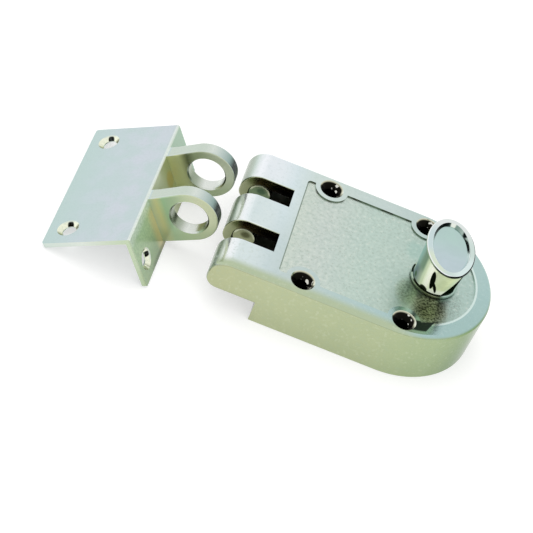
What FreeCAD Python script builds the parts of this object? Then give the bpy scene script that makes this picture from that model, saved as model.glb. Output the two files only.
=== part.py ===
import FreeCAD, Part
import math
import os

# Rim deadbolt with an interlocking strike. Millimetres, +Z is away from the door face.
# The origin is on the door face, on the axis that the thumbturn turns about.
# +X runs to the round end of the case, and the locking pins drop toward -Y.

vec = FreeCAD.Vector
xAxis = vec(1, 0, 0)
yAxis = vec(0, 1, 0)
zAxis = vec(0, 0, 1)

# Case
caseWidth = 70.0
halfWidth = caseWidth / 2
caseHeight = 24.4
turnSetback = 25.0
endX = turnSetback - halfWidth
slotEndX = -64.3
slotWidth = 10.3
slotPitch = 27.2
slotRound = 0.6
stepX = -63.8
kneeZ = 9.0
noseLowRound = 5.0
edgeRound = 1.8
wall = 2.2
panelDepth = 0.6
panelLeftX = -60.3
panelHalf = 27.8
floorZ = 1.8
floorInset = 0.2

# Locking pins
pinX = -77.0
pinZ = 15.2
pinRadius = 4.8
runFit = 0.06
boltTravel = 11.6
noseRound = 8.6
noseX = pinX - noseRound
noseCentreZ = caseHeight - noseRound

# Mounting holes through the case
mountXs = (-50.0, -7.6)
mountHalf = 27.9
mountHoleRadius = 2.5
mountSinkRadius = 5.0
mountPadRadius = 7.0
mountPostRadius = 6.4

# Thumbturn: an oval head, dished on top, on a stem that narrows to a round neck
restTurn = -83.0
turnBaseRadius = 10.0
turnNeckRadius = 9.0
turnFlangeThick = 1.2
washerThick = 0.5
headTopZ = 43.9
headLong = 16.1
headShort = 10.2
headThick = 1.4
headLip = 0.8
headRim = 2.4
headDish = 1.3
spindleRadius = 4.0
spindleTop = 29.4
crankReach = boltTravel / math.sqrt(2)
crankRest = 135.0

# Bolt carrier
carrierZ = 13.7
carrierThick = 3.0
armThick = 2.0
armTopZ = 19.3
armLowZ = 11.1
armEndX = -61.8

# Strike, in its own frame: the fold is the origin, plate A runs to -X and plate B to -Z
plateLong = 72.6
plateWide = 37.3
plateDeep = 24.0
plateThick = 2.1
plateRound = 1.2
tipRound = 0.5
ringX = 14.5
ringZ = -10.7
ringRadius = 11.8
ringHole = 7.6
ringThick = 5.9
ringShift = 5.2
strikeHoleX = -28.9
strikeHoleY = 27.4
strikeHoleZ = -15.8
strikeHoleRadius = 2.8
strikeSinkRadius = 4.5
edgeHoleShift = 1.7
strikeY = -3.3
strikeFoldX = -117.9


def block(x0, x1, y0, y1, z0, z1):
    return Part.makeBox(x1 - x0, y1 - y0, z1 - z0, vec(x0, y0, z0))


def post(x, y, z0, z1, radius):
    return Part.makeCylinder(radius, z1 - z0, vec(x, y, z0), zAxis)


def barY(x, z, y0, y1, radius):
    return Part.makeCylinder(radius, y1 - y0, vec(x, y0, z), yAxis)


def prism(points, depth):
    return Part.Face(Part.makePolygon(points + [points[0]])).extrude(depth)


def rounded(shape, radius, wanted):
    edges = [e for e in shape.Edges if wanted(e.BoundBox)]
    return shape.makeFillet(radius, edges)


def tube(x, y, z0, z1, inner, outer):
    return post(x, y, z0, z1, outer).cut(post(x, y, z0 - 1, z1 + 1, inner))


def screwHole(x, y, z, top, hole, sink):
    # A straight hole with a cone at its mouth, cut downward from z = top
    shaft = post(x, y, z, top + 1, hole)
    cone = Part.makeCone(hole, sink, sink - hole, vec(x, y, top - (sink - hole)), zAxis)
    mouth = post(x, y, top, top + 1, sink)
    return shaft.fuse([cone, mouth])


def capsulePlan(inset, leftX, z0, z1):
    # The case's plan, drawn in by inset, from leftX to the round end
    r = halfWidth - inset
    a = vec(leftX, -r, z0)
    b = vec(endX, -r, z0)
    tip = vec(endX + r, 0, z0)
    c = vec(endX, r, z0)
    d = vec(leftX, r, z0)
    edges = [
        Part.LineSegment(a, b).toShape(),
        Part.Arc(b, tip, c).toShape(),
        Part.LineSegment(c, d).toShape(),
        Part.LineSegment(d, a).toShape(),
    ]
    return Part.Face(Part.Wire(edges)).extrude(vec(0, 0, z1 - z0))


def noseSection(inset, rightX, lowZ, y0, y1):
    # The case's side outline over the knuckles, drawn in by inset
    r = noseRound - inset
    low = noseLowRound - inset
    left = pinX - r
    turn = math.sqrt(0.5)
    top = vec(pinX, y0, noseCentreZ + r)
    mid = vec(pinX - r * turn, y0, noseCentreZ + r * turn)
    side = vec(left, y0, noseCentreZ)
    lowSide = vec(left, y0, lowZ + low)
    lowMid = vec(left + low * (1 - turn), y0, lowZ + low * (1 - turn))
    lowEnd = vec(left + low, y0, lowZ)
    edges = [
        Part.LineSegment(vec(rightX, y0, noseCentreZ + r), top).toShape(),
        Part.Arc(top, mid, side).toShape(),
        Part.LineSegment(side, lowSide).toShape(),
        Part.Arc(lowSide, lowMid, lowEnd).toShape(),
        Part.LineSegment(lowEnd, vec(rightX, y0, lowZ)).toShape(),
        Part.LineSegment(vec(rightX, y0, lowZ), vec(rightX, y0, noseCentreZ + r)).toShape(),
    ]
    return Part.Face(Part.Wire(edges)).extrude(vec(0, y1 - y0, 0))


slotHalf = slotPitch / 2
farWallY = slotHalf + slotWidth / 2
midWallY = slotHalf - slotWidth / 2
ceilingZ = caseHeight - panelDepth - wall
panelZ = caseHeight - panelDepth
coverScrewSpots = ((-28.8, 28.6), (-28.8, -28.6), (16.5, 14.5), (16.5, -14.5))
guideXs = (-47.5, -27.5)
guideBossZ = 17.7
turnBossZ = 19.2
turnBossRadius = 8.0


def knuckleHollows():
    # Y ranges of the hollow inside the far, middle and near knuckle
    far = (farWallY + wall, halfWidth - wall)
    middle = (-midWallY + wall, midWallY - wall)
    near = (-halfWidth + wall, -farWallY - wall)
    return far, middle, near


def makeCase():
    body = capsulePlan(0, noseX - 1, 0, caseHeight)
    side = noseSection(0, stepX, kneeZ, -halfWidth - 1, halfWidth + 1)
    side = side.fuse(block(stepX, turnSetback + 1, -halfWidth - 1, halfWidth + 1, 0, caseHeight))
    body = body.common(side).removeSplitter()
    tight = 0.01

    def rimEdge(box):
        atTop = box.ZMin > caseHeight - tight
        atSide = box.YMin > halfWidth - tight or box.YMax < -halfWidth + tight
        onNose = atSide and box.XMax < pinX + noseRound and box.ZMax > kneeZ + tight
        onEnd = atTop and box.XMax > endX + tight and box.XLength > halfWidth / 2
        return onNose or (atTop and atSide) or onEnd

    body = rounded(body, edgeRound, rimEdge)

    # The recessed panel, with the four pads left standing at the rim's height
    panel = capsulePlan(halfWidth - panelHalf, panelLeftX, panelZ, caseHeight + 1)
    panel = rounded(panel, 1.5, lambda b: b.ZLength > 1 and b.XMax < panelLeftX + 0.1 and b.XLength < 0.1)
    for x in mountXs:
        for y in (-mountHalf, mountHalf):
            panel = panel.cut(post(x, y, panelZ - 1, caseHeight + 2, mountPadRadius))
    body = body.cut(panel)

    # The hollow, open at the door side
    hollow = capsulePlan(wall, slotEndX + wall, kneeZ - 0.1, ceilingZ)
    hollow = hollow.fuse(capsulePlan(wall, stepX - 1, -1, kneeZ))
    hollow = hollow.fuse(capsulePlan(wall - 1, stepX - 1, -1, floorZ))
    for y0, y1 in knuckleHollows():
        hollow = hollow.fuse(noseSection(wall, slotEndX + wall + 1, kneeZ, y0, y1))
        hollow = hollow.fuse(block(noseX + noseLowRound, slotEndX + wall + 1, y0, y1, kneeZ - 1, kneeZ + 2))
    bosses = []
    for x in mountXs:
        for y in (-mountHalf, mountHalf):
            bosses.append(post(x, y, floorZ, caseHeight, mountPostRadius))
    for x, y in coverScrewSpots:
        bosses.append(post(x, y, floorZ, caseHeight, 3.2))
    for x in guideXs:
        bosses.append(post(x, 0, guideBossZ, caseHeight, 4.2))
    bosses.append(post(0, 0, turnBossZ, caseHeight, turnBossRadius))
    hollow = hollow.cut(bosses[0].fuse(bosses[1:]))
    body = body.cut(hollow)

    # The two slots for the strike's rings
    for y in (-slotHalf, slotHalf):
        body = body.cut(block(noseX - 2, slotEndX, y - slotWidth / 2, y + slotWidth / 2, -1, caseHeight + 1))

    slotWalls = (-farWallY, -midWallY, midWallY, farWallY)

    def knuckleEdge(box):
        onWall = box.YLength < tight and min(abs(box.YMin - y) for y in slotWalls) < tight
        onTop = box.ZMin > noseCentreZ - tight and box.ZMax > noseCentreZ + 1
        return onWall and onTop and box.XMax < slotEndX + tight

    body = rounded(body, slotRound, knuckleEdge)

    # Doorways for the pins and their arms in the two walls that face -Y
    for y in (farWallY, -midWallY):
        lowX = pinX - pinRadius - runFit
        body = body.cut(barY(pinX, pinZ, y - 1, y + wall + 0.01, pinRadius + runFit))
        doorX = slotEndX + wall + 0.1
        body = body.cut(block(lowX, doorX, y - 0.01, y + wall + 0.01, kneeZ - 1, pinZ))
        body = body.cut(block(pinX, doorX, y - 0.01, y + wall + 0.01, pinZ - 1, armTopZ + 0.3))
    # Round sockets that catch the pin ends in the two walls that face +Y
    for y in (midWallY, -farWallY):
        body = body.cut(barY(pinX, pinZ, y - wall - 0.01, y + 0.01, pinRadius + 0.15))

    # Holes
    for x in mountXs:
        for y in (-mountHalf, mountHalf):
            body = body.cut(screwHole(x, y, -1, caseHeight, mountHoleRadius, mountSinkRadius))
    for x, y in coverScrewSpots:
        body = body.cut(post(x, y, -1, 9.0, 1.25))
    for x in guideXs:
        body = body.cut(post(x, 0, 0, 21.8, 1.63))
    body = body.cut(post(0, 0, 0, caseHeight + 1, spindleRadius + 0.05))
    return body.removeSplitter()


def makeBackCover():
    # One pressed plate: flat over the hollow, a riser at the step, and a tongue under each knuckle
    gap = 0.15
    top = kneeZ + 1.2
    riserX = stepX + 0.1
    plate = capsulePlan(wall - 1 + gap, riserX, floorInset, floorZ)
    reach = halfWidth - wall - gap
    riser = block(riserX, riserX + 1.3, -reach, reach, floorInset, kneeZ - gap)
    tongues = []
    for y0, y1 in knuckleHollows():
        tongues.append(block(riserX, riserX + 1.3, y0 + gap, y1 - gap, kneeZ - 1, top))
        tongues.append(block(noseX + noseLowRound + gap, riserX + 1, y0 + gap, y1 - gap, kneeZ, top))
    cover = plate.fuse([riser] + tongues).removeSplitter()
    for x in mountXs:
        for y in (-mountHalf, mountHalf):
            cover = cover.cut(post(x, y, -1, floorZ + 1, mountHoleRadius + 0.2))
    for x, y in coverScrewSpots:
        hole = Part.makeCone(2.85, 1.6, 1.25, vec(x, y, floorInset), zAxis)
        cover = cover.cut(hole.fuse(post(x, y, -1, floorZ + 1, 1.6)))
    return cover.cut(post(0, 0, -1, floorZ + 1, 8.05))


def crossedHead(x, y, z, depth, reach):
    slot = block(x - reach, x + reach, y - 0.3, y + 0.3, z, z + depth)
    return slot.fuse(block(x - 0.3, x + 0.3, y - reach, y + reach, z, z + depth))


def makeCoverScrews():
    screws = []
    for x, y in coverScrewSpots:
        head = Part.makeCone(2.75, 1.5, 1.25, vec(x, y, floorInset + 0.03), zAxis)
        screw = head.fuse(post(x, y, floorInset + 0.5, 8.6, 1.22))
        screws.append(screw.cut(crossedHead(x, y, floorInset, 0.8, 1.5)))
    return Part.makeCompound(screws)


def ovalWire(inset, z):
    # The head's outline drawn in by inset, its long axis along X
    long = vec(headLong - inset, 0, z)
    short = vec(0, headShort - inset, z)
    return Part.Wire([Part.Ellipse(long, short, vec(0, 0, z)).toShape()])


def makeThumbturn():
    seat = panelZ + washerThick
    flangeTop = seat + turnFlangeThick
    flange = post(0, 0, seat, flangeTop, turnBaseRadius)
    flange = rounded(flange, 0.6, lambda b: b.ZMin > flangeTop - 0.01)
    shoulderZ = headTopZ - headThick
    neck = Part.Wire([Part.Circle(vec(0, 0, flangeTop - 0.3), zAxis, turnNeckRadius).toShape()])
    stem = Part.makeLoft([neck, ovalWire(headLip, shoulderZ + 0.05)], True, True)
    head = Part.Face(ovalWire(0, shoulderZ)).extrude(vec(0, 0, headThick))
    head = rounded(head, 0.6, lambda b: b.ZLength < 0.01)
    floor = headTopZ - headDish
    dish = Part.makeLoft([ovalWire(headRim + 0.8, floor), ovalWire(headRim, headTopZ + 0.1)], True, True)
    bore = post(0, 0, seat - 1, spindleTop + 0.05, spindleRadius + 0.04)
    turn = flange.fuse([stem, head]).cut(dish).cut(bore)
    turn = rounded(turn, 0.4, lambda b: b.ZLength < 0.01 and b.ZMin > headTopZ - 0.01)
    turn.rotate(vec(0, 0, 0), zAxis, restTurn)
    return turn


def makeTurnWasher():
    return tube(0, 0, panelZ, panelZ + washerThick, spindleRadius + 0.2, 9.0)


def makeSpindle():
    square = block(-2.8, 2.8, -2.8, 2.8, 7.8, 17.1).common(post(0, 0, 7, 18, spindleRadius - 0.15))
    shaft = post(0, 0, 17.0, spindleTop, spindleRadius)
    groove = tube(0, 0, 17.3, 18.0, spindleRadius - 0.7, spindleRadius + 1)
    spindle = square.fuse(shaft).cut(groove)
    spindle.rotate(vec(0, 0, 0), zAxis, crankRest)
    return spindle.removeSplitter()


def makeRetainingRing():
    ring = tube(0, 0, 17.35, 17.95, spindleRadius - 0.67, 6.2)
    ring = ring.cut(block(0, 7, -2.2, 2.2, 17, 18.5))
    return ring


def makeSpringWasher():
    outer = Part.makeCone(6.6, 5.9, 0.6, vec(0, 0, 18.0), zAxis)
    inner = Part.makeCone(5.9, 4.15, 0.4, vec(0, 0, 17.99), zAxis)
    return outer.cut(inner).cut(post(0, 0, 17, 20, 4.15))


def makeThrustWasher():
    return tube(0, 0, 18.62, turnBossZ, spindleRadius + 0.12, 7.2)


def crankSpot():
    angle = math.radians(crankRest)
    return crankReach * math.cos(angle), crankReach * math.sin(angle)


def makeBoltCam():
    x, y = crankSpot()
    hub = post(0, 0, 2.65, 12.4, 7.4).fuse(post(0, 0, 0.6, 2.65, 6.0))
    arm = block(0, crankReach, -4.2, 4.2, 9.2, 12.4)
    arm.rotate(vec(0, 0, 0), zAxis, crankRest)
    cam = hub.fuse([arm, post(x, y, 9.2, 12.4, 4.2)]).removeSplitter()
    tailSlot = block(-4.5, 4.5, -1.1, 1.1, 0, 7.0)
    socket = block(-2.85, 2.85, -2.85, 2.85, 7.6, 13)
    cuts = tailSlot.fuse(socket)
    cuts.rotate(vec(0, 0, 0), zAxis, crankRest)
    return cam.cut(cuts).cut(post(x, y, 9, 13, 1.83))


def makeCrankPin():
    x, y = crankSpot()
    return post(x, y, 9.3, 17.2, 1.8)


def makeCrankRoller():
    x, y = crankSpot()
    return tube(x, y, 12.5, 16.9, 1.86, 2.6)


def makeCamBushing():
    sleeve = tube(0, 0, floorInset + 0.1, floorZ + 0.02, 6.06, 8.0)
    return sleeve.fuse(tube(0, 0, floorZ + 0.02, 2.6, 6.06, 9.6)).removeSplitter()


farArmY = farWallY + wall + 9.55
midArmY = farArmY - slotPitch
armSpan = 4.4


def boltArm(y):
    # One upright arm, y to y + armThick, rounded where it carries the pin
    arm = barY(pinX, pinZ, y, y + armThick, armSpan - 0.3)
    arm = arm.fuse(block(pinX, -57.5, y, y + armThick, armLowZ, armTopZ))
    return arm


def makeBoltCarrier():
    z0 = carrierZ
    z1 = carrierZ + carrierThick
    x, y = crankSpot()
    spine = block(armEndX, -57.0, midArmY, farArmY + armThick, z0, z1)
    plateEndX = -20.0
    plate = block(armEndX, plateEndX, -6.0, 18.0, z0, z1)
    fork = block(-22.0, -4.8, y - 5.9, y + 5.9, z0, z1)
    carrier = spine.fuse([plate, fork, boltArm(farArmY), boltArm(midArmY)]).removeSplitter()

    def plateCorner(box):
        return box.ZLength > carrierThick - 0.1 and box.XLength < 0.01 and abs(box.XMax - plateEndX) < 0.01

    carrier = rounded(carrier, 2.0, plateCorner)
    carrier = carrier.cut(block(-12.5, 0, y - 2.9, y + 2.9, z0 - 1, z1 + 1))
    carrier = carrier.cut(post(-12.5, y, z0 - 1, z1 + 1, 2.9))
    # Two guide slots along the travel
    for x in guideXs:
        carrier = carrier.cut(block(x - 2.26, x + 2.26, 0, boltTravel, z0 - 1, z1 + 1))
        for end in (-0.1, boltTravel + 0.1):
            carrier = carrier.cut(post(x, end, z0 - 1, z1 + 1, 2.26))
    # Countersunk holes for the screws that hold the pins
    for y in (farArmY, midArmY):
        back = y + armThick
        carrier = carrier.cut(barY(pinX, pinZ, y - 1, back + 1, 1.35))
        sink = Part.makeCone(1.35, 2.6, 1.25, vec(pinX, back - 1.25, pinZ), yAxis)
        carrier = carrier.cut(sink)
    return carrier


def makeBoltPin(armY, length):
    pin = barY(pinX, pinZ, armY - length, armY, pinRadius)
    pin = rounded(pin, 0.5, lambda b: b.YMax < armY - length + 0.1)
    return pin.cut(barY(pinX, pinZ, armY - 7.0, armY + 1, 1.1))


pinLength = farArmY - farWallY - 0.15


def makePinScrews():
    screws = []
    for y in (farArmY, midArmY):
        back = y + armThick
        head = Part.makeCone(1.25, 2.5, 1.25, vec(pinX, back - 1.27, pinZ), yAxis)
        screw = head.fuse(barY(pinX, pinZ, y - 6.5, back - 0.6, 1.06))
        screw = screw.cut(block(pinX - 2, pinX + 2, back - 0.6, back + 0.1, pinZ - 0.3, pinZ + 0.3))
        screws.append(screw)
    return Part.makeCompound(screws)


def makeGuidePosts():
    posts = []
    low = carrierZ - 1.7
    for x in guideXs:
        guide = post(x, 0, low, guideBossZ, 2.2)
        guide = guide.fuse([post(x, 0, 16.95, guideBossZ, 3.8), post(x, 0, guideBossZ, 21.6, 1.6)])
        posts.append(guide.cut(tube(x, 0, low + 0.6, low + 1.3, 1.5, 3)))
    return Part.makeCompound(posts)


def makeGuideClips():
    clips = []
    low = carrierZ - 1.7
    for x in guideXs:
        clip = tube(x, 0, low + 0.65, low + 1.25, 1.53, 3.9)
        clips.append(clip.cut(block(x, x + 5, -1.2, 1.2, low, low + 2)))
    return Part.makeCompound(clips)


def makeStrike():
    half = plateLong / 2
    plateA = block(-plateWide, 0, -half, half, -plateThick, 0)
    plateA = rounded(plateA, plateRound, lambda b: b.ZLength > 1 and b.XMax < -plateWide + 0.1)
    plateB = block(-plateThick, 0, -half, half, -plateDeep, 0)
    plateB = rounded(plateB, tipRound, lambda b: b.XLength > 1 and b.ZMax < -plateDeep + 0.1)
    strike = plateA.fuse(plateB).removeSplitter()
    strike = rounded(strike, 0.7, lambda b: b.YLength > half and b.XMin > -0.01 and b.ZMin > -0.01)
    for side in (-1, 1):
        y0 = ringShift + side * slotPitch / 2 - ringThick / 2
        # The arm is drawn by the tangent from the fold to the ring
        reach = math.hypot(ringX, ringZ)
        lean = math.atan2(-ringZ, ringX)
        turn = math.acos(ringRadius / reach)
        angle = math.pi - lean - turn
        tangent = vec(ringX + ringRadius * math.cos(angle), y0, ringZ + ringRadius * math.sin(angle))
        arm = prism([
            vec(-plateThick / 2, y0, -0.35),
            vec(0, y0, -0.35),
            tangent,
            vec(ringX, y0, ringZ),
            vec(ringX, y0, ringZ - ringRadius),
            vec(-plateThick / 2, y0, ringZ - ringRadius),
        ], vec(0, ringThick, 0))
        ring = barY(ringX, ringZ, y0, y0 + ringThick, ringRadius)
        eye = arm.fuse(ring).removeSplitter()
        eye = rounded(eye, 0.7, lambda b: b.YLength < 0.01 and b.XMax > 2)
        eye = eye.cut(barY(ringX, ringZ, y0 - 1, y0 + ringThick + 1, ringHole))
        sink = 0.6
        low = Part.makeCone(ringHole + sink, ringHole, sink, vec(ringX, y0, ringZ), yAxis)
        high = Part.makeCone(ringHole, ringHole + sink, sink, vec(ringX, y0 + ringThick - sink, ringZ), yAxis)
        strike = strike.fuse(eye.cut(low).cut(high))
    sinkDepth = strikeSinkRadius - strikeHoleRadius
    for side in (-1, 1):
        y = side * strikeHoleY
        strike = strike.cut(screwHole(strikeHoleX, y, -4, 0, strikeHoleRadius, strikeSinkRadius))
        edgeY = y + side * edgeHoleShift
        drill = Part.makeCylinder(strikeHoleRadius, 6, vec(-4, edgeY, strikeHoleZ), xAxis)
        mouthAt = vec(-sinkDepth, edgeY, strikeHoleZ)
        mouth = Part.makeCone(strikeHoleRadius, strikeSinkRadius, sinkDepth, mouthAt, xAxis)
        strike = strike.cut(drill).cut(mouth)
    strike = strike.removeSplitter()
    # It stands like a roof on the outer edge of plate A and the low edge of plate B
    tilt = math.atan2(plateDeep - plateThick, plateWide - plateThick)
    foldZ = plateThick * math.sin(tilt) + plateDeep * math.cos(tilt)
    strike.rotate(vec(0, 0, 0), yAxis, -math.degrees(tilt))
    strike.translate(vec(strikeFoldX, strikeY, foldZ))
    return strike


parts = {
    "case": makeCase(),
    "back_cover": makeBackCover(),
    "cover_screws": makeCoverScrews(),
    "thumbturn": makeThumbturn(),
    "thumbturn_washer": makeTurnWasher(),
    "turn_spindle": makeSpindle(),
    "retaining_ring": makeRetainingRing(),
    "spring_washer": makeSpringWasher(),
    "thrust_washer": makeThrustWasher(),
    "bolt_cam": makeBoltCam(),
    "crank_pin": makeCrankPin(),
    "crank_roller": makeCrankRoller(),
    "cam_bushing": makeCamBushing(),
    "bolt_carrier": makeBoltCarrier(),
    "far_bolt_pin": makeBoltPin(farArmY, pinLength),
    "middle_bolt_pin": makeBoltPin(midArmY, pinLength),
    "bolt_pin_screws": makePinScrews(),
    "guide_posts": makeGuidePosts(),
    "guide_clips": makeGuideClips(),
    "strike": makeStrike(),
}

os.makedirs("parts", exist_ok=True)
for name, shape in parts.items():
    shape.exportStep("parts/" + name + ".step")
    print(name, shape.isValid(), len(shape.Solids), round(shape.Volume, 1))
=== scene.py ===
import math

import bpy
from mathutils import Matrix, Vector

# Rim deadbolt: a case with a thumbturn and two locking pins, and the loose strike beside it.
# The frame is in metres. The materials work in millimetres of the same frame.

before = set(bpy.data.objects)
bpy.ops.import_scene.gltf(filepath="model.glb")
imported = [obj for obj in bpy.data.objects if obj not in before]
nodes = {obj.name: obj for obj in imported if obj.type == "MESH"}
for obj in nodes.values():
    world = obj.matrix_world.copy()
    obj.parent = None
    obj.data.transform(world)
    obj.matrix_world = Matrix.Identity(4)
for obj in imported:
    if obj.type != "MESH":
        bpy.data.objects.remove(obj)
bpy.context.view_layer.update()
print("frame loaded,", len(nodes), "nodes")


def tone(red, green, blue):
    # screen values 0 to 255 as a linear colour
    def linear(v):
        v = v / 255
        return v / 12.92 if v <= 0.04045 else ((v + 0.055) / 1.055) ** 2.4
    return (linear(red), linear(green), linear(blue), 1.0)


class Wire:
    # one output socket, with the arithmetic that the materials use
    def __init__(self, shader, socket):
        self.shader = shader
        self.socket = socket

    def math(self, operation, a, b=None, c=None):
        values = {i: v for i, v in enumerate((a, b, c)) if v is not None}
        return self.shader.node("ShaderNodeMath", {"operation": operation}, values)

    def __add__(self, other): return self.math("ADD", self, other)
    def __radd__(self, other): return self.math("ADD", other, self)
    def __sub__(self, other): return self.math("SUBTRACT", self, other)
    def __rsub__(self, other): return self.math("SUBTRACT", other, self)
    def __mul__(self, other): return self.math("MULTIPLY", self, other)
    def __rmul__(self, other): return self.math("MULTIPLY", other, self)
    def __abs__(self): return self.math("ABSOLUTE", self)
    def power(self, n): return self.math("POWER", self, n)
    def above(self, n): return self.math("GREATER_THAN", self, n)
    def below(self, n): return self.math("LESS_THAN", self, n)
    def atMost(self, other): return self.math("MINIMUM", self, other)
    def atLeast(self, other): return self.math("MAXIMUM", self, other)


class Shader:
    # the nodes of a material, or of the world, and the few moves that build them
    def __init__(self, owner, outputKind="ShaderNodeOutputMaterial"):
        owner.use_nodes = True
        self.owner = owner
        self.tree = owner.node_tree
        self.tree.nodes.clear()
        self.output = self.tree.nodes.new(outputKind)

    def node(self, kind, settings=None, values=None, out=0):
        made = self.tree.nodes.new(kind)
        for key, value in (settings or {}).items():
            if key == "stops":
                ramp = made.color_ramp
                while len(ramp.elements) < len(value):
                    ramp.elements.new(0.5)
                for element, (place, colour) in zip(ramp.elements, value):
                    element.position = place
                    element.color = colour
            else:
                setattr(made, key, value)
        for key, value in (values or {}).items():
            if isinstance(value, Wire):
                self.tree.links.new(value.socket, made.inputs[key])
            else:
                made.inputs[key].default_value = value
        return Wire(self, made.outputs[out])

    def split(self, vector):
        return [self.node("ShaderNodeSeparateXYZ", None, {0: vector}, i) for i in range(3)]

    def place(self):
        # position on the piece in millimetres, which rides with its body
        at = self.node("ShaderNodeTexCoord", None, None, "Object")
        return self.node("ShaderNodeVectorMath", {"operation": "SCALE"}, {0: at, "Scale": 1000.0})

    def facing(self):
        return self.node("ShaderNodeTexCoord", None, None, "Normal")

    def fade(self, value, low, high):
        # 0 at low, 1 at high, smooth between
        return self.node("ShaderNodeMapRange", {"interpolation_type": "SMOOTHSTEP"},
                         {"Value": value, "From Min": low, "From Max": high})

    def patch(self, terms, inner=0.2, outer=1.0):
        # 1 in the middle of an oval spot, 0 outside; terms are (value, middle, radius)
        total = 0.0
        for value, middle, radius in terms:
            off = (value - middle) * (1.0 / radius)
            total = total + off * off
        return self.fade(total, outer, inner)

    def oval(self, a, b, spot, inner=0.1, outer=1.0):
        # spot is its middle and radius along a, then along b
        return self.patch([(a, spot[0], spot[1]), (b, spot[2], spot[3])], inner, outer)

    def mix(self, factor, a, b, blend="MIX"):
        return self.node("ShaderNodeMix", {"data_type": "RGBA", "blend_type": blend},
                         {0: factor, 6: a, 7: b}, 2)

    def ramp(self, value, stops, low=0.0, high=1.0):
        spread = self.node("ShaderNodeMapRange", None,
                           {"Value": value, "From Min": low, "From Max": high})
        placed = [((at - low) / (high - low), colour) for at, colour in stops]
        return self.node("ShaderNodeValToRGB", {"stops": placed}, {0: spread})

    def noise(self, at, size, detail=2.0, roughness=0.5):
        # size is the spacing of the grain in millimetres
        return self.node("ShaderNodeTexNoise", {"noise_dimensions": "3D"},
                         {"Vector": at, "Scale": 1.0 / size, "Detail": detail,
                          "Roughness": roughness}, "Fac")

    def bump(self, height, depth, strength=1.0, under=None):
        values = {"Height": height, "Distance": depth / 1000, "Strength": strength}
        if under is not None:
            values["Normal"] = under
        return self.node("ShaderNodeBump", None, values, "Normal")

    def metal(self, colour, roughness, normal, metallic=1.0, glow=None, strength=0.0):
        values = {"Base Color": colour, "Roughness": roughness, "Metallic": metallic}
        if glow is not None:
            # what isn't mirror is flat paint here, with a little light of its own
            values["Emission Color"] = glow
            values["Emission Strength"] = strength
            values["Specular IOR Level"] = 0.0
        values["Normal"] = normal
        self.finish(self.node("ShaderNodeBsdfPrincipled", None, values))

    def finish(self, surface):
        self.tree.links.new(surface.socket, self.output.inputs["Surface"])


def newShader(name):
    return Shader(bpy.data.materials.new(name))


def dress(name, material):
    node = nodes[name]
    node.data.materials.clear()
    node.data.materials.append(material)


# Camera: fitted to the case's edges, slots and holes in the photograph
camera = {
    "place": (-0.0966949, -0.511559, 0.4999104),
    "right": (0.92854421, 0.22781658, 0.29309599),
    "up": (-0.36829994, 0.66422363, 0.65050913),
    "lens": 118.441,
    "sensor": 36.0,
}


def makeCamera():
    data = bpy.data.cameras.new("photoCamera")
    data.lens = camera["lens"]
    data.sensor_width = camera["sensor"]
    data.clip_start = 0.01
    data.clip_end = 20
    view = bpy.data.objects.new("photoCamera", data)
    bpy.context.collection.objects.link(view)
    right = Vector(camera["right"]).normalized()
    up = Vector(camera["up"]).normalized()
    back = right.cross(up)
    turn = Matrix((right, up, back)).transposed().to_4x4()
    view.matrix_world = Matrix.Translation(camera["place"]) @ turn
    bpy.context.scene.camera = view


# Studio: a pale floor, a white surround, and two soft lamps
studio = {
    "white": (1, 1, 1, 1),
    "floorSize": 4.0,
    "floorPlace": (-0.06, 0, -0.0002),
    "floorTone": (0.58, 0.58, 0.575, 1.0),
    "floorGlow": 0.52,
    "surround": 0.85,
    "keyPower": 3.2,
    "keySize": 0.9,
    "keyPlace": (-0.35, 0.25, 0.95),
    "fillPower": 1.4,
    "fillSize": 0.8,
    "fillPlace": (0.45, -0.6, 0.7),
    "lampAim": (-0.05, 0, 0.01),
}


def whiteToEye(shader):
    # 1 for rays from the camera, and for those that metal or glass sends on
    rays = [shader.node("ShaderNodeLightPath", None, None, name)
            for name in ("Is Camera Ray", "Is Glossy Ray", "Is Transmission Ray")]
    return rays[0].atLeast(rays[1]).atLeast(rays[2])


def makeFloor():
    half = studio["floorSize"] / 2
    corners = [(-half, -half, 0), (half, -half, 0), (half, half, 0), (-half, half, 0)]
    mesh = bpy.data.meshes.new("floor")
    mesh.from_pydata(corners, [], [(0, 1, 2, 3)])
    floor = bpy.data.objects.new("floor", mesh)
    bpy.context.collection.objects.link(floor)
    floor.location = studio["floorPlace"]
    shader = Shader(bpy.data.materials.new("paleFloor"))
    plain = shader.node("ShaderNodeBsdfDiffuse", None, {"Color": studio["floorTone"]})
    strength = whiteToEye(shader) * studio["floorGlow"]
    glow = shader.node("ShaderNodeEmission", None,
                       {"Color": studio["white"], "Strength": strength})
    shader.finish(shader.node("ShaderNodeAddShader", None, {0: plain, 1: glow}))
    mesh.materials.append(shader.owner)


def makeSurround():
    world = bpy.data.worlds.new("surround")
    bpy.context.scene.world = world
    shader = Shader(world, "ShaderNodeOutputWorld")
    seen = whiteToEye(shader)
    strength = seen + (1 - seen) * studio["surround"]
    shader.finish(shader.node("ShaderNodeBackground", None,
                              {"Color": studio["white"], "Strength": strength}))


def makeLamp(name):
    data = bpy.data.lights.new(name, "AREA")
    data.energy = studio[name + "Power"]
    data.size = studio[name + "Size"]
    lamp = bpy.data.objects.new(name, data)
    bpy.context.collection.objects.link(lamp)
    place = studio[name + "Place"]
    lamp.location = place
    toward = Vector(studio["lampAim"]) - Vector(place)
    lamp.rotation_euler = toward.to_track_quat("-Z", "Y").to_euler()
    lamp.visible_camera = False
    lamp.visible_glossy = False


makeCamera()
makeFloor()
makeSurround()
makeLamp("key")
makeLamp("fill")
print("studio set")


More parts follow.
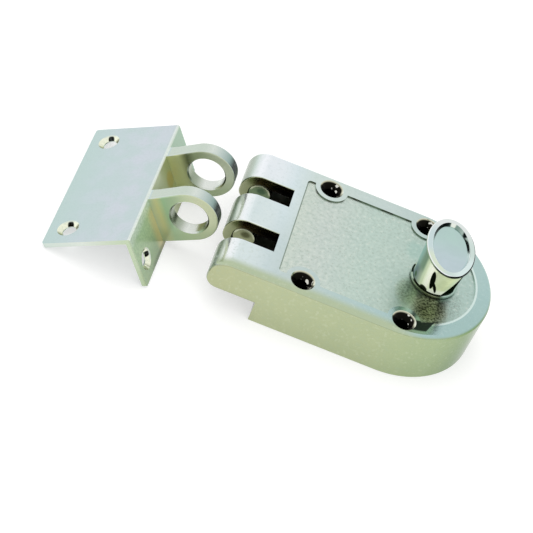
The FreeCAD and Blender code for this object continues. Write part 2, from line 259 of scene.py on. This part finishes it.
# Case: satin nickel over a casting, a finely pebbled panel, and painted dark shade and reflections
# in the slots and countersinks.
# A spot is its middle and radius along x, then along y
caseLook = {
    "panelZ": 23.8,
    "rimZ": 24.4,
    "panelLeft": -60.3,
    "slotSpot": 13.6,
    "slotHalf": 5.15,
    "slotEnd": -64.3,
    "noseX": -77.0,
    "holeMid": -28.8,
    "holeReach": 21.2,
    "holeY": 27.9,
    "holeSink": 5.0,
    "pebble": 0.75,
    "pebbleDepth": 0.05,
    "coarse": 0.95,
    "front": (1.2, 8.6, -16.5, 10.5),
    "leftward": (-9.0, 5.6, -11.5, 8.5),
    "rightward": (9.5, 5.0, -9.0, 10.0),
    "cool": (-10.0, 4.6, 12.5, 6.5),
    "endX": -10.0,
    "arcReach": 28.2,
    "arcHalf": 0.6,
    "wedgeOut": 31.6,
    "wedgeIn": 26.95,
    "wedgeBend": 1.8,
    "wedgeTip": 5.4,
}


def caseMaterial():
    look = caseLook
    s = newShader("satinNickelCase")
    at = s.place()
    x, y, z = s.split(at)
    nx, ny, nz = s.split(s.facing())
    cloud = s.noise(at, 9.0, 3.0)
    mottle = s.noise(at, 1.5, 2.0)
    grain = s.noise(at, look["pebble"], 3.0, 0.6)

    # painted reflections: the top pale blue-grey, the walls yellow-green, both changing along x
    rimFar = s.ramp(x, [
        (-78, tone(220, 231, 233)),
        (-66, tone(215, 228, 231)),
        (-58, tone(207, 220, 216)),
        (-45, tone(201, 215, 209)),
        (-25, tone(198, 212, 208)),
        (-10, tone(188, 205, 200)),
        (25, tone(170, 199, 196)),
    ], -78, 25)
    rimNear = s.ramp(x, [
        (-78, tone(211, 220, 220)),
        (-66, tone(201, 215, 216)),
        (-55, tone(194, 208, 205)),
        (-35, tone(183, 204, 201)),
        (-12, tone(173, 199, 197)),
        (8, tone(165, 193, 190)),
        (25, tone(164, 193, 189)),
    ], -78, 25)
    rim = s.mix(s.fade(y, 12, -18), rimFar, rimNear)
    panelTone = s.ramp(x, [
        (-62, tone(207, 217, 206)),
        (-48, tone(203, 213, 206)),
        (-30, tone(193, 211, 201)),
        (-12, tone(187, 206, 196)),
        (2, tone(179, 201, 190)),
        (25, tone(180, 203, 197)),
    ], -62, 25)
    wallTone = s.ramp(x, [
        (-86, tone(178, 182, 143)),
        (-60, tone(180, 187, 150)),
        (-15, tone(173, 183, 146)),
        (8, tone(162, 178, 138)),
        (14, tone(148, 167, 124)),
        (20, tone(112, 142, 88)),
        (25, tone(92, 120, 66)),
    ], -86, 25)
    wallTone = s.mix(s.fade(ny, -0.12, 0.3), wallTone, tone(172, 183, 150))
    colour = s.mix(s.fade(nz, 0.42, 0.97), wallTone, rim)

    # the knuckles' noses: a painted highlight on the crest, then a painted dark reflection low on
    # the left
    crest = s.ramp(nz, [
        (-0.4, tone(130, 138, 118)),
        (0.1, tone(180, 192, 174)),
        (0.3, tone(168, 180, 163)),
        (0.42, tone(134, 148, 130)),
        (0.54, tone(120, 134, 118)),
        (0.64, tone(180, 192, 180)),
        (0.76, tone(228, 236, 228)),
        (0.86, tone(242, 246, 245)),
        (0.94, tone(240, 244, 246)),
        (0.985, tone(231, 239, 240)),
        (1.0, tone(214, 226, 226)),
    ], -0.4, 1)
    farCrest = s.ramp(nz, [
        (-0.4, tone(150, 160, 138)),
        (0.1, tone(168, 180, 164)),
        (0.5, tone(164, 177, 162)),
        (0.66, tone(176, 190, 178)),
        (0.76, tone(204, 217, 211)),
        (0.86, tone(231, 237, 238)),
        (0.94, tone(244, 247, 251)),
        (0.985, tone(238, 242, 246)),
        (1.0, tone(229, 235, 239)),
    ], -0.4, 1)
    # blotches on the near side dull the crest's painted highlight
    dullBlotches = s.fade(mottle, 0.5, 0.75) * s.fade(y, -15, -20)
    crest = s.mix(dullBlotches * 0.6, crest, tone(214, 224, 220))
    crest = s.mix(s.fade(y, 16, 22), crest, farCrest)
    onNose = s.fade(x, look["noseX"] + 13, look["noseX"] + 3) * s.fade(abs(ny), 0.85, 0.35)
    colour = s.mix(onNose, colour, crest)
    # the near edge of the top is painted in the walls' reflection tone
    nearEdge = s.fade(y, -29.0, -33.6) * s.fade(x, 4, -12) * nz.above(0.6)
    colour = s.mix(nearEdge, colour, tone(181, 194, 162))

    # panel, with a painted shade line along its left edge
    onPanel = z.above(look["panelZ"] - 0.2) * z.below(look["panelZ"] + 0.2) * nz.above(0.9)
    onPanel = onPanel * x.above(look["panelLeft"] - 0.3)
    colour = s.mix(onPanel, colour, panelTone)
    edgeLine = onPanel * x.below(look["panelLeft"] + 0.5) * 0.75
    colour = s.mix(edgeLine, colour, tone(104, 122, 108))

    # soft cloudiness of the plating, a speckle on the pebbled panel
    colour = s.mix(s.fade(cloud, 0.3, 0.7) * 0.12, colour, tone(226, 238, 244), "MULTIPLY")
    greener = s.fade(mottle, 0.5, 0.72) * (0.12 + onPanel * 0.3)
    colour = s.mix(greener, colour, tone(164, 186, 174))
    paler = s.fade(mottle, 0.46, 0.26) * (0.10 + onPanel * 0.32)
    colour = s.mix(paler, colour, tone(232, 238, 228))
    speck = s.fade(grain, 0.48, 0.32) * onPanel * 0.36
    colour = s.mix(speck, colour, tone(128, 146, 128))

    # painted reflection of the thumbturn in front of it and painted shade beside it on the panel,
    # broken up by the pebble
    front = s.oval(x, y, look["front"], 0.1, 1.1)
    leftward = s.oval(x, y, look["leftward"], 0.1, 1.2)
    cool = s.oval(x, y, look["cool"], 0.1, 1.2)
    broken = s.fade(s.noise(at, look["coarse"], 3.0, 0.65), 0.56, 0.42)
    rightward = s.oval(x, y, look["rightward"], 0.1, 1.2)
    colour = s.mix(onPanel * cool * 0.35, colour, tone(146, 188, 178))
    colour = s.mix(onPanel * leftward * 0.45, colour, tone(158, 176, 132))
    colour = s.mix(onPanel * front * 0.85, colour, tone(142, 146, 112))
    dark = front.atLeast(leftward * 0.42).atLeast(rightward * 0.3)
    colour = s.mix(onPanel * dark * broken * 0.88, colour, tone(40, 46, 28))

    # on the rounded end: a painted black reflection wedge beside the near hole, a painted pale
    # highlight along the step
    endX = x - look["endX"]
    fromEnd = (endX * endX + y * y).power(0.5)
    outer = fromEnd - look["wedgeOut"] + ((x - look["wedgeBend"]) * 1.9).atLeast(0.0)
    tail = fromEnd - look["wedgeIn"] + abs(x - look["wedgeTip"]) * 0.35
    wedge = s.fade(outer.atMost(tail), 0.5, -0.4) * s.fade(fromEnd, 26.0, 26.8)
    wedge = wedge * x.above(-4.0) * y.below(0)
    colour = s.mix(wedge * nz.above(0.8) * 0.95, colour, tone(24, 31, 34))
    arcLine = s.patch([(fromEnd, look["arcReach"], look["arcHalf"])], 0.2, 1.0)
    arcLine = arcLine * nz.above(0.9) * x.above(-6) * y.below(16) * (1 - wedge)
    colour = s.mix(arcLine * 0.7, colour, tone(224, 240, 234))

    # countersinks: cones painted black for their shade and dark reflections, with a painted bright
    # lip and small painted highlights
    side = x.above(look["holeMid"])
    localX = x - (look["holeMid"] - look["holeReach"]) - side * (2 * look["holeReach"])
    localY = abs(y) - look["holeY"]
    reach = (localX * localX + localY * localY).power(0.5)
    inHole = reach.below(look["holeSink"] + 0.02) * nz.below(0.9)
    toward = (localX - y + (y.above(0) * 2 - 1) * look["holeY"]) * 0.707  # to +X and -Y
    lipped = reach + s.fade(toward, 1.0, 4.2) * 0.75
    sink = s.ramp(lipped, [
        (0, tone(5, 5, 5)),
        (2.6, tone(14, 13, 11)),
        (4.4, tone(22, 21, 17)),
        (4.7, tone(186, 186, 162)),
        (5.2, tone(232, 236, 222)),
    ], 0, 5.2)
    spark = s.fade(s.noise(at, 1.7, 1.0), 0.55, 0.61) * reach.above(2.5) * reach.below(4.5)
    spark = spark * s.fade(localX, -1.0, 0.6)
    sink = s.mix(spark * 0.8, sink, tone(236, 236, 226))
    colour = s.mix(inHole, colour, sink)

    # the step round the panel: painted shade in dark dashes where it faces -Y, painted light on
    # the right arc
    stepWall = z.above(look["panelZ"] + 0.04) * z.below(look["rimZ"] - 0.04) * nz.below(0.6)
    stepWall = stepWall * reach.above(look["holeSink"] + 0.1)
    stepWall = stepWall * x.above(look["panelLeft"] - 0.2) * abs(y).below(look["holeY"] + 0.2)
    lengths = s.fade(s.noise(at, 5.0, 1.0), 0.42, 0.58)
    dashes = s.mix(lengths, tone(20, 28, 22), tone(104, 120, 104))
    stepTone = s.mix(s.fade(ny, -0.2, -0.6), tone(206, 224, 216), dashes)
    colour = s.mix(stepWall, colour, stepTone)

    # the slots: painted shade and reflections, olive left of the pin, brown over it, black to the
    # right and low down
    fromSlot = abs(abs(y) - look["slotSpot"])
    inSlot = fromSlot.below(look["slotHalf"] + 0.04) * x.below(look["slotEnd"] + 0.05)
    inSlot = inSlot * nz.below(0.7)
    slotTone = s.ramp(x, [
        (-86, tone(158, 164, 132)),
        (-81.5, tone(140, 147, 110)),
        (-78.5, tone(104, 88, 48)),
        (-74, tone(64, 56, 32)),
        (-69, tone(26, 22, 18)),
        (-64, tone(14, 12, 12)),
    ], -86, -64)
    slotTone = s.mix(s.fade(z, 21.5, 17.0) * s.fade(x, -81, -76), slotTone, tone(12, 10, 11))
    # a painted pale highlight along the upper lip
    lip = s.fade(z, 21.8, 22.4) * s.fade(x, -79, -76) * s.fade(x, -64.5, -66)
    slotTone = s.mix(lip * 0.8, slotTone, tone(92, 84, 48))
    colour = s.mix(inSlot, colour, slotTone)

    normal = s.bump(grain * onPanel, look["pebbleDepth"])
    normal = s.bump(s.noise(at, 1.6, 2.0), 0.008, 0.5, normal)
    roughness = 0.16 + onPanel * 0.16 + cloud * 0.06
    # the low side of the noses faces the strike, so less of it is mirror
    lowNose = onNose * s.fade(nz, 0.88, 0.62)
    s.metal(colour, roughness, normal, 1 - lowNose * 0.85)
    return s.owner


dress("case", caseMaterial())


# Thumbturn: bright nickel; its stem carries painted sharp dark reflections, as of a polished
# casting.
# Spots on the stem are by angle and height, those in the dish by x and y
turnLook = {
    "dishZ": 42.6,
    "flangeZ": 25.5,
    "shoulderZ": 42.5,
    "degrees": 57.2958,
    "shade": (-65.0, 8.0, 27.4, 1.8),
    "leg": (-15.4, 5.7, 34.2, 6.6),
    "thinLeg": (-25.4, 4.2, 30.2, 4.3),
    "foot": (-24.0, 13.0, 25.6, 2.3),
    "stroke": (-95.0, 17.0),
    "borderAt": 27.5,
    "glint": (-1.2, 1.4, 14.0, 2.5),
    "crescent": (4.8, 1.7, 10.4, 2.0),
    "glow": 0.2,
}


def turnMaterial():
    look = turnLook
    s = newShader("turnNickel")
    at = s.place()
    x, y, z = s.split(at)
    nx, ny, nz = s.split(s.facing())
    cloud = s.noise(at, 5.0, 2.0)

    # the dish and the rim are painted reflections, with a painted highlight on the rim's rounded
    # edge
    dish = s.mix(s.fade(y, -9, 9), tone(188, 204, 210), tone(178, 205, 198))
    dish = s.mix(s.fade(cloud, 0.35, 0.65) * 0.3, dish, tone(176, 196, 196))
    rim = s.mix(s.fade(x, -6, 6), tone(200, 217, 218), tone(204, 220, 214))
    rim = s.mix(s.fade(y, 4, 12), rim, tone(222, 228, 226))
    rim = s.mix(s.fade(y, -3, -9) * s.fade(x, 2, -3), rim, tone(214, 226, 206))
    rim = s.mix(s.fade(y, 0, -5) * s.fade(x, 2, 6), rim, tone(216, 232, 230))
    rim = s.mix(s.fade(nz, 0.99, 0.90) * s.fade(y, 14, 6), rim, tone(240, 244, 248))
    isRim = z.above(look["dishZ"] + 0.2)
    top = s.mix(isRim, dish, rim)

    # stem: painted reflections and highlights, by the angle round the axis (0 toward -Y, in
    # degrees) and by height
    around = x.math("ARCTAN2", x, y * -1.0) * look["degrees"]
    leftHigh = s.ramp(around, [
        (-110, tone(166, 196, 184)),
        (-84, tone(142, 178, 168)),
        (-70, tone(138, 168, 154)),
        (-60, tone(124, 150, 130)),
        (-46, tone(120, 146, 122)),
    ], -110, -46)
    leftLow = s.ramp(around, [
        (-110, tone(176, 200, 182)),
        (-92, tone(176, 196, 176)),
        (-84, tone(122, 146, 142)),
        (-68, tone(106, 124, 124)),
        (-56, tone(126, 144, 134)),
        (-46, tone(160, 176, 154)),
    ], -110, -46)
    left = s.mix(s.fade(z - around * 0.05, 37.5, 33.0), leftHigh, leftLow)
    left = s.mix(s.oval(around, z, look["shade"], 0.2), left, tone(78, 104, 80))
    cream = s.ramp(around, [
        (-46, tone(196, 210, 178)),
        (-40, tone(220, 236, 200)),
        (-34, tone(208, 220, 186)),
        (-28, tone(246, 254, 228)),
        (-20, tone(255, 255, 240)),
        (-12, tone(236, 248, 210)),
    ], -46, -12)
    front = s.ramp(around, [
        (-9, tone(206, 214, 182)),
        (-3, tone(214, 226, 188)),
        (6, tone(208, 222, 178)),
        (16, tone(220, 232, 184)),
        (25, tone(208, 226, 186)),
        (32, tone(206, 220, 190)),
    ], -9, 32)
    front = s.mix(s.fade(cloud, 0.42, 0.6) * 0.5, front, tone(196, 208, 164))
    front = s.mix(s.fade(z, 30.5, 27.5), front, tone(240, 248, 228))
    stem = s.mix(s.fade(around, -47.0, -33.0), left, cream)
    stem = s.mix(s.fade(around, -14.0, -9.0), stem, front)

    # painted black reflections: two legs that lean with the stem and the right side past a slanted
    # border; painted shade at its foot
    fallen = look["shoulderZ"] - z
    leg = s.oval(around - fallen * 0.5, z, look["leg"], 0.7)
    thinLeg = s.oval(around - fallen * 2.0, z, look["thinLeg"], 0.6)
    stem = s.mix(leg.atLeast(thinLeg), stem, tone(12, 18, 8))
    foot = s.oval(around, z, look["foot"], 0.4)
    stem = s.mix(foot, stem, tone(26, 34, 20))
    border = around - look["borderAt"] - (z - 28.0) * 0.85
    past = s.fade(border, -0.8, 1.6)
    right = s.mix(s.fade(border, 36.0, 58.0), tone(8, 20, 8), tone(120, 138, 124))
    stem = s.mix(past, stem, right)
    behind = s.fade(around, -150, -120).atLeast(s.fade(around, 120, 150))
    stem = s.mix(s.fade(ny, 0.35, 0.7) * behind, stem, tone(150, 172, 158))

    # head's edge: painted shade under the rim, widest at the right; the dish wall painted with
    # dark reflection on the far side, a painted glint and a pale near side
    edgeTop = 0.6 + s.fade(x, 0.0, 4.0) * 0.28 + s.fade(x, 6.0, 8.0) * 0.09
    band = z.above(look["shoulderZ"] + 0.05) * nz.below(edgeTop)
    bandTone = s.mix(s.fade(x, -6.5, -3.0), tone(176, 188, 160), tone(58, 68, 58))
    bandTone = s.mix(s.fade(x, 0.0, 3.0), bandTone, tone(12, 24, 18))
    colour = s.mix(s.fade(nz, 0.25, 0.75), stem, top)
    colour = s.mix(band, colour, bandTone)
    inward = (x * nx + y * ny).below(-0.3) * z.above(look["dishZ"] - 0.1) * nz.below(0.93)
    glint = s.oval(x, y, look["glint"], 0.3)
    wallTone = s.mix(s.fade(x, -3.4, -0.6), tone(14, 22, 22), tone(126, 150, 140))
    wallTone = s.mix(s.fade(x, 0.5, 4.0), wallTone, tone(168, 186, 178))
    wallTone = s.mix(s.oval(x, y, look["crescent"], 0.3), wallTone, tone(10, 20, 20))
    wallTone = s.mix(glint, wallTone, tone(230, 236, 226))
    nearWall = s.mix(s.fade(y, -1.0, 5.0), tone(226, 238, 236), wallTone)
    colour = s.mix(inward, colour, nearWall)

    # flange: painted reflections, pale at the left with a dark stroke, painted black shade at the
    # foot, the panel's tone at the right
    onFlange = z.below(look["flangeZ"] + 0.02)
    flangeTone = s.mix(s.fade(around, -64.0, -54.0), tone(170, 190, 170), tone(22, 32, 16))
    flangeTone = s.mix(s.fade(around, 22.0, 34.0), flangeTone, tone(160, 184, 172))
    stroke = s.patch([(around, *look["stroke"])], 0.6, 1.0)
    flangeTone = s.mix(stroke, flangeTone, tone(30, 46, 38))
    flangeSide = s.ramp(around, [
        (-130, tone(176, 196, 184)),
        (-92, tone(226, 238, 228)),
        (-78, tone(150, 172, 158)),
        (-66, tone(150, 166, 150)),
        (-48, tone(140, 154, 126)),
        (-30, tone(96, 108, 82)),
        (-8, tone(104, 112, 84)),
        (8, tone(140, 146, 118)),
        (22, tone(90, 104, 80)),
        (34, tone(160, 184, 172)),
    ], -130, 34)
    colour = s.mix(onFlange, colour, s.mix(nz.above(0.5), flangeSide, flangeTone))

    # the stem would mirror little but the panel, so it is flat paint with its reflections painted
    # in, and its pale parts glow a little
    onStem = z.below(look["shoulderZ"]) * nz.below(0.3) * z.above(look["flangeZ"] - 0.6)
    black = leg.atLeast(thinLeg).atLeast(foot).atLeast(past * s.fade(border, 58.0, 36.0))
    lit = onStem * (1 - black)
    normal = s.bump(s.noise(at, 3.0, 2.0), 0.004)
    glow = s.mix(lit, tone(0, 0, 0), colour)
    s.metal(colour, 0.07 + cloud * 0.05, normal, 1 - onStem, glow, look["glow"])
    return s.owner


dress("thumbturn", turnMaterial())


# Strike: satin nickel. Its tones are laid out in its own frame, u along the wide plate and
# w square to it, with the fold as the origin
strikeLook = {
    "foldX": -117.9,
    "foldZ": 21.488,
    "tilt": 31.888,
    "armNear": -14.65,
    "gapLow": -8.75,
    "gapHigh": 12.55,
    "ochreReflection": (9.0, 4.5, -9.5, 5.0),
    "crease": (-0.35, 0.9, -0.1, 0.8),
    "notch": (-0.2, 1.5, 3.1, 1.5),
    "ringU": 14.5,
    "ringW": -10.7,
    "holeU": -28.9,
    "holeMid": -3.3,
    "holeReach": 27.4,
    "edgeReach": 29.1,
    "edgeW": -15.8,
    "sink": 4.5,
}


def strikeMaterial():
    look = strikeLook
    s = newShader("strikeNickel")
    at = s.place()
    x, y, z = s.split(at)
    nx, ny, nz = s.split(s.facing())
    c = math.cos(math.radians(look["tilt"]))
    n = math.sin(math.radians(look["tilt"]))
    u = (x - look["foldX"]) * c + (z - look["foldZ"]) * n
    w = (z - look["foldZ"]) * c - (x - look["foldX"]) * n
    nu = nx * c + nz * n
    nw = nz * c - nx * n
    cloud = s.noise(at, 8.0, 3.0)
    fine = s.noise(at, 0.9, 3.0, 0.6)

    # the plate's tones are painted reflections
    plate = s.ramp(u, [
        (-37, tone(192, 213, 210)),
        (-26, tone(198, 213, 216)),
        (-12, tone(206, 214, 222)),
        (-2, tone(204, 214, 220)),
        (4, tone(198, 210, 200)),
        (14, tone(208, 218, 210)),
    ], -37, 14)
    plate = s.mix(s.fade(cloud, 0.35, 0.65) * 0.5, plate, tone(190, 212, 208))

    # the folded plate: painted reflections, green, ochre beside each arm, olive-brown between the
    # two rings
    fold = s.ramp(w, [
        (-24, tone(150, 170, 130)),
        (-17, tone(158, 184, 142)),
        (-11, tone(180, 206, 164)),
        (-5, tone(182, 210, 170)),
        (-1.8, tone(216, 234, 216)),
    ], -24, -1.8)
    fold = s.mix(s.fade(fine, 0.4, 0.6) * 0.4, fold, tone(138, 168, 130))
    ochre = s.fade(y, look["armNear"] - 7.0, look["armNear"] - 1.0) * s.fade(w, -2, -7)
    fold = s.mix(ochre * 0.8, fold, tone(224, 208, 150))
    # painted dark green shade along the low edge
    lowEdge = s.fade(w, -21.0, -23.0) * s.fade(y, -33, -27)
    fold = s.mix(lowEdge * 0.6, fold, tone(84, 104, 72))
    gap = y.above(look["gapLow"]) * y.below(look["gapHigh"])
    brown = s.mix(s.fade(y, look["gapHigh"] - 3, look["gapHigh"] - 12),
                  tone(170, 180, 128), tone(196, 206, 172))
    # a painted ochre reflection between the rings
    brown = s.mix(s.oval(y, w, look["ochreReflection"]) * 0.7, brown, tone(180, 164, 84))
    fold = s.mix(gap, fold, brown)
    far = y.above(look["gapHigh"] + 5)
    fold = s.mix(far, fold, tone(156, 186, 162))

    # faces that look along Y: the plates' edges and the rings' sides, in painted reflection tones
    sides = s.ramp(u, [
        (-37, tone(202, 214, 206)),
        (-20, tone(212, 219, 210)),
        (-3, tone(190, 204, 176)),
        (0.3, tone(188, 204, 172)),
        (3, tone(216, 212, 156)),
        (6, tone(172, 202, 164)),
        (13, tone(190, 206, 168)),
        (20, tone(206, 211, 176)),
        (26, tone(196, 204, 166)),
    ], -37, 26)
    farRing = s.ramp(u, [
        (0, tone(216, 220, 160)),
        (5, tone(196, 202, 150)),
        (8.5, tone(92, 100, 66)),
        (12, tone(158, 170, 136)),
        (20, tone(186, 194, 168)),
        (26, tone(188, 198, 172)),
    ], 0, 26)
    sides = s.mix(y.above(look["gapLow"] + 2) * s.fade(u, -0.5, 0.5), sides, farRing)
    low = s.fade(w, -13, -20) * s.fade(u, -2.5, 0.5)
    sides = s.mix(low * 0.6, sides, tone(156, 176, 130))

    # the rings' round outer face: a painted reflection that turns from pale to blue-grey to black
    # on the right
    ringTone = s.ramp(nw, [
        (-1.0, tone(120, 132, 108)),
        (-0.45, tone(84, 100, 80)),
        (-0.1, tone(18, 26, 20)),
        (0.2, tone(30, 40, 34)),
        (0.42, tone(142, 166, 160)),
        (0.7, tone(186, 201, 196)),
        (0.9, tone(216, 223, 216)),
        (1.0, tone(200, 212, 200)),
    ], -1, 1)
    offU = u - look["ringU"]
    offW = w - look["ringW"]
    ringReach = (offU * offU + offW * offW).power(0.5)
    onRound = u.above(1.0) * ringReach.above(11.0) * abs(ny).below(0.5)
    # inside the eyes: pale, darker toward the right
    eye = s.mix(s.fade(offU, 3.0, 6.5), tone(222, 226, 220), tone(86, 94, 72))
    eye = s.mix(s.fade(offU, -3.0, -7.0), eye, tone(150, 162, 140))
    inEye = ringReach.below(8.35) * abs(ny).below(0.9) * u.above(1.0)

    # choose by the way the surface faces
    back = tone(176, 188, 184)
    colour = s.mix(s.fade(nw, 0.3, 0.75), back, plate)
    colour = s.mix(s.fade(nu, 0.35, 0.85) * u.below(0.6), colour, fold)
    colour = s.mix(s.fade(abs(ny), 0.5, 0.85), colour, sides)
    colour = s.mix(onRound, colour, ringTone)
    colour = s.mix(inEye, colour, eye)
    # a painted highlight along the fold's crease
    crease = s.oval(u, w, look["crease"], 0.2) * abs(ny).below(0.4)
    colour = s.mix(crease * 0.6, colour, tone(236, 242, 234))

    # countersinks: painted reflections, bright cones with a black notch above and a dark crescent
    # below
    for across, along, reachY, facingIt in (
        (u, look["holeU"], look["holeReach"], nw),
        (w, look["edgeW"], look["edgeReach"], nu),
    ):
        offA = across - along
        offB = abs(y - look["holeMid"]) - reachY
        ownB = offB * ((y - look["holeMid"]).above(0) * 2 - 1)
        reach = (offA * offA + offB * offB).power(0.5)
        cone = reach.below(look["sink"] + 0.03) * facingIt.below(0.95) * facingIt.above(0.2)
        shine = s.mix(s.fade(fine, 0.3, 0.7) * 0.3, tone(240, 243, 222), tone(206, 212, 178))
        shine = s.mix(s.oval(offA, ownB, look["notch"], 0.5), shine, tone(14, 14, 8))
        below = s.fade(ownB, -1.0, -3.2) * s.fade(reach, 2.9, 3.5)
        shine = s.mix(below, shine, tone(120, 130, 104))
        over = s.fade(reach, 3.9, 4.4) * s.fade(ownB, 2.6, 3.4)
        shine = s.mix(over, shine, tone(216, 226, 214))
        colour = s.mix(cone, colour, shine)

    colour = s.mix(s.fade(fine, 0.45, 0.7) * 0.12, colour, tone(170, 190, 186))
    # the inner corner sees little but itself, so less of it is mirror
    corner = u.above(-0.5) * inEye.below(0.5) * onRound.below(0.5) * nw.below(0.6)
    normal = s.bump(fine, 0.010)
    s.metal(colour, 0.2 + cloud * 0.08, normal, 1 - corner * 0.65)
    return s.owner


dress("strike", strikeMaterial())


# Locking pins: a turned end with a painted highlight on its rounded edge, a painted dark ring
# outside it, and sides painted lighter on top
pinLook = {"x": -77.0, "z": 15.2, "shadeSpot": (0.3, 2.6, 1.4, 2.0), "edgeReach": 4.45}


def pinMaterial(name, face, shade):
    look = pinLook
    s = newShader(name)
    at = s.place()
    x, y, z = s.split(at)
    nx, ny, nz = s.split(s.facing())
    offX = x - look["x"]
    offZ = z - look["z"]
    reach = (offX * offX + offZ * offZ).power(0.5)
    end = s.mix(s.oval(offX, offZ, look["shadeSpot"]), tone(*face), tone(*shade))
    end = s.mix(s.fade(reach, 3.5, 3.9) * s.fade(offZ, 0.0, 1.8), end, tone(206, 212, 182))
    side = s.mix(s.fade(nz, -0.2, 0.8), tone(96, 104, 74), tone(176, 184, 160))
    colour = s.mix(s.fade(ny, -0.6, -0.92), side, end)
    colour = s.mix(reach.above(look["edgeReach"]) * ny.below(-0.2) * 0.8, colour, tone(30, 32, 20))
    turned = s.noise(at, 0.5, 1.0)
    s.metal(colour, 0.2 + turned * 0.08, s.bump(turned, 0.004))
    return s.owner


dress("far_bolt_pin", pinMaterial("farPinSteel", (122, 142, 108), (84, 108, 82)))
dress("middle_bolt_pin", pinMaterial("middlePinSteel", (156, 162, 126), (92, 96, 66)))
print("case, turn, strike and pins dressed")


# Other metals: pale tone, dark tone, roughness, grain size and its depth in millimetres
metals = {
    "platedSteel": ((188, 190, 186), (166, 168, 162), 0.34, 1.2, 0.01),
    "castZinc": ((168, 170, 170), (140, 142, 140), 0.46, 0.8, 0.03),
    "boltSteel": ((176, 180, 166), (140, 146, 128), 0.22, 0.6, 0.006),
    "springSteel": ((92, 94, 98), (60, 60, 64), 0.3, 1.0, 0.006),
    "brassParts": ((214, 186, 120), (188, 152, 84), 0.28, 0.9, 0.008),
}


def plainMetal(name):
    pale, dark, rough, size, depth = metals[name]
    s = newShader(name)
    at = s.place()
    grain = s.noise(at, size, 3.0)
    cloud = s.noise(at, 7.0, 2.0)
    colour = s.mix(s.fade(cloud, 0.3, 0.7), tone(*dark), tone(*pale))
    s.metal(colour, rough + grain * 0.08, s.bump(grain, depth))
    return s.owner


def nylonMaterial():
    s = newShader("nylon")
    grain = s.noise(s.place(), 0.8, 2.0)
    colour = s.mix(s.fade(grain, 0.3, 0.7), tone(214, 212, 200), tone(232, 230, 220))
    s.metal(colour, 0.45 + grain * 0.1, s.bump(grain, 0.01), 0.0)
    return s.owner


made = {name: plainMetal(name) for name in metals}
wears = {
    "platedSteel": ["back_cover", "cover_screws"],
    "castZinc": ["bolt_carrier", "bolt_cam"],
    "boltSteel": ["bolt_pin_screws", "turn_spindle", "crank_pin", "guide_posts"],
    "springSteel": ["retaining_ring", "spring_washer", "guide_clips"],
    "brassParts": ["thrust_washer", "cam_bushing", "crank_roller"],
}
for name, wearers in wears.items():
    for wearer in wearers:
        dress(wearer, made[name])
dress("thumbturn_washer", nylonMaterial())
print("materials on")

bpy.context.scene.view_settings.view_transform = "Standard"
